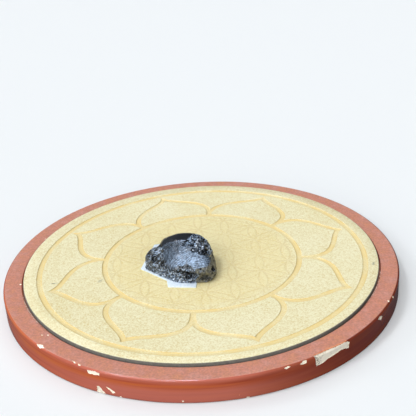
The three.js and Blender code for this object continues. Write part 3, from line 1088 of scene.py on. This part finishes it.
def weathering(places, facing, zones, lines, mask):
    # how white the frost is, with its painted highlight; where the soil film and the panel's
    # painted reflection lie; where the skin is etched; and where the painted glints go
    # painted highlight: the frost is painted whiter where the window's light glances off the
    # scoop
    away = (frontSpots(places) - stone["bright"]) / stone["highlightReach"]
    middle = np.exp(-(away ** 2).sum(axis=1) / 2)
    speckle = noise(places, 1.3, 61) * 0.5 + noise(places, 0.75, 62) * 0.5
    frost = zones["scoop"] * (0.12 + 0.55 * middle) * (1 + 0.65 * lines + 1.0 * speckle)
    # frost in patches and specks over the etched skin; the brightest specks are painted glints
    patchy = zones["lobe"] + zones["crown"] * 1.8 + zones["hollow"] + zones["back"] * 0.5
    frostAndGlintSpecks = fade(noise(places, 0.85, 64) + 0.4 * noise(places, 0.5, 65), 0.2, 0.55)
    frost = frost + patchy * (fade(speckle, -0.1, 0.5) * 0.3 + frostAndGlintSpecks * 1.3)
    frost = frost + (zones["flank"] + zones["lip"]) * frostAndGlintSpecks * 0.3
    foot = 1 - fade(places[:, 2], 0.5, 4)
    frost = frost + (zones["hollow"] + zones["lobe"]) * foot * 0.22

    # the olive-brown film: partly soil, partly painted reflection of the wooden panel on the low
    # and right-hand faces
    soilAndReflection = zones["flank"] * 0.7 + zones["lip"] * 0.14 + zones["hollow"] * 0.12
    low = 1 - fade(places[:, 2], 2, 9)
    soilAndReflection = soilAndReflection + zones["back"] * low * 0.5 + zones["lobe"] * 0.2
    soilAndReflection = soilAndReflection * (0.9 + 1.1 * noise(places, 1.8, 63) + 0.6 * noise(places, 0.9, 66))

    etched = 0.25 + 0.75 * (zones["lobe"] + zones["crown"] + zones["hollow"])
    etched = etched + 0.25 * (zones["flank"] + zones["back"]) - 0.25 * zones["ridge"]

    # painted highlight: the ring-shaped pit is painted white in its middle
    spot = frontSpots(np.array([stone["bubbles"][0][:3]]))
    glint = 1 - fade(np.linalg.norm(frontSpots(places) - spot, axis=1), 0.35, 0.7)
    glint = glint * fade(facing @ np.cross(stone["across"], stone["rise"]), 0, 0.2)
    frost, soilAndReflection, mask = frost + glint * 1.5, soilAndReflection * (1 - glint), mask * (1 - glint)
    # painted glints: white flecks in the crown, the hollow and the lobe, and the pit's painted
    # highlight
    sparkle = noise(places, 1.0, 67) + 0.3 * noise(places, 0.6, 68)
    paintedGlint = zones["crown"] + zones["hollow"] + 0.6 * zones["lobe"]
    paintedGlint = np.maximum(paintedGlint * fade(sparkle, 0.45, 0.62) * (1 - mask), glint)
    return {"frost": frost, "etched": etched, "pits": mask, "soilAndReflection": soilAndReflection, "paintedGlint": paintedGlint}


def makeStone():
    thing = bpy.data.objects.new("tektite_glass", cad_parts["tektite"].data.copy())
    scene.collection.objects.link(thing)
    remesh = thing.modifiers.new("even", "REMESH")
    remesh.mode = "VOXEL"
    remesh.voxel_size = stone["voxel"] * mm
    applyModifiers(thing)
    data = thing.data
    edges = np.zeros(len(data.edges) * 2, dtype=np.int64)
    data.edges.foreach_get("vertices", edges)
    places = smoothed(vertexPlaces(data), edges.reshape(-1, 2), stone["smoothing"])
    setPlaces(data, places)
    facing = vertexNormals(data)
    zones = stoneZones(places, facing)
    ground = fade(places[:, 2], 0.1, 0.6)
    rough = 1 - 0.8 * np.maximum(zones["scoop"], zones["ridge"])
    swell = noise(places, 3.4, 21) * 0.3 + noise(places, 1.5, 22) * 0.16
    for spot, reach, height in stone["knobs"]:
        near = ((frontSpots(places) - spot) ** 2).sum(axis=1) / reach ** 2
        swell = swell + height * np.exp(-near / 2)
    places = places + facing * ((swell - 0.1) * rough * ground)[:, None]
    setPlaces(data, places)
    places, mask = cutSkin(places, vertexNormals(data), zones)
    print("stone's skin cut")

    lines = flowLines(places)
    fine = noise(places, 0.7, 41) * 0.05 + noise(places, 0.45, 42) * 0.03
    worn = zones["flank"] + zones["lip"] + zones["back"] * 0.5
    shift = lines * stone["flowHeight"] * zones["scoop"] + fine * (0.2 + 0.8 * worn)
    shift *= ground * (1 - mask)
    setPlaces(data, places)
    facing = vertexNormals(data)
    places = places + facing * shift[:, None]
    places[:, 2] = np.maximum(places[:, 2], 0)
    setPlaces(data, places)
    for name, values in weathering(places, facing, zones, lines, mask).items():
        layer = data.attributes.new(name, "FLOAT", "POINT")
        layer.data.foreach_set("value", np.clip(values, 0, 1).astype(np.float32))
    data.materials.clear()
    data.materials.append(makeGlass())
    data.shade_smooth()
    handOver(thing, "tektite")


makeStone()
print("stone made")


# The studio: a pale seamless floor, a window high on the left, its panes round it, soft lamps
# above and in front, two that only glint in the glass and the paint, and walls that are
# brightest on the left
studio = {
    "floorReach": 6000,         # mm from the middle
    "floor": "#eeefec",
    "floorLift": 0.2,           # how much of the floor's brightness its shadows leave alone
    "floorGlow": "#5e5e62",     # the grey that the floor throws back at the board
    # lamps: where each comes from, its spread in degrees, its strength, its colour, and
    # whether it lights surfaces and whether it glints in them
    "lamps": {
        "window": ((-0.45, -0.15, 0.88), 12, 0.9, "#f3f7ff", True, True),
        "tube": ((-0.16, -0.34, 0.93), 16, 1.7, "#c8deff", False, True),
        "above": ((0.1, 0.5, 0.86), 40, 0.54, "#ffffff", True, False),
        "paneLeft": ((-0.75, 0.25, 0.6), 10, 0.24, "#eff5ff", True, True),
        "paneFront": ((-0.33, -0.72, 0.55), 10, 0.34, "#eff5ff", True, True),
        "paneCorner": ((-0.65, -0.5, 0.57), 10, 0.3, "#eff5ff", True, True),
        "paneRight": ((0.5, 0.3, 0.8), 12, 0.5, "#d3e4ff", False, True),
        "front": ((-0.45, -0.84, 0.3), 45, 1.22, "#fffaf4", True, False),
        "fill": ((0.55, -0.75, 0.36), 40, 0.58, "#ffffff", True, False),
    },
    # the walls' light: where it is brightest, how dim and how bright it gets, its colour
    "airFrom": (-0.75, -0.35, 0.6),
    "airDim": 0.03,
    "airBright": 0.76,
    "air": "#e6effa",
    "backdrop": "#f6f7f9",
}


def makeStudio():
    material, tree = newMaterial("studioPaper")
    seen = add(tree, "LightPath").outputs["Is Camera Ray"]
    shade = mix(tree, seen, linear(studio["floorGlow"]), linear(studio["floor"]))
    paper = add(tree, "BsdfPrincipled", {"Base Color": shade, "Roughness": 0.9})
    lift = add(tree, "Emission", {"Color": linear(studio["backdrop"])})
    share = add(tree, "Math", {0: seen, 1: studio["floorLift"]}, operation="MULTIPLY")
    lifted = add(tree, "MixShader", {0: share, 1: paper, 2: lift})
    add(tree, "OutputMaterial", {"Surface": lifted})
    half = studio["floorReach"]
    corners = [(-half, -half, 0), (half, -half, 0), (half, half, 0), (-half, half, 0)]
    floor = meshObject("floor", corners, [[0, 1, 2, 3]], [material])
    for name, (way, spread, power, colour, lights, glints) in studio["lamps"].items():
        data = bpy.data.lights.new(name, "SUN")
        data.energy = power
        data.color = linear(colour)[:3]
        data.angle = math.radians(spread)
        lamp = bpy.data.objects.new(name, data)
        scene.collection.objects.link(lamp)
        lamp.rotation_euler = Vector(way).to_track_quat("Z", "Y").to_euler()
        lamp.visible_diffuse = lights
        lamp.visible_glossy = glints
    world = bpy.data.worlds.new("studio")
    world.use_nodes = True
    tree = world.node_tree
    tree.nodes.clear()
    way = add(tree, "TexCoord").outputs["Generated"]
    side = Vector(studio["airFrom"]).normalized()
    toward = add(tree, "VectorMath", {0: way, 1: side}, operation="DOT_PRODUCT").outputs["Value"]
    bright = add(tree, "MapRange", {
        "Value": toward, "From Min": -0.4, "From Max": 1.0,
        "To Min": studio["airDim"], "To Max": studio["airBright"],
    })
    air = add(tree, "Background", {"Color": linear(studio["air"]), "Strength": bright})
    wall = add(tree, "Background", {"Color": linear(studio["backdrop"])})
    seen = add(tree, "LightPath").outputs["Is Camera Ray"]
    both = add(tree, "MixShader", {0: seen, 1: air, 2: wall})
    add(tree, "OutputWorld", {"Surface": both})
    scene.world = world
    scene.view_settings.view_transform = "Standard"


makeStudio()
print("studio lit")
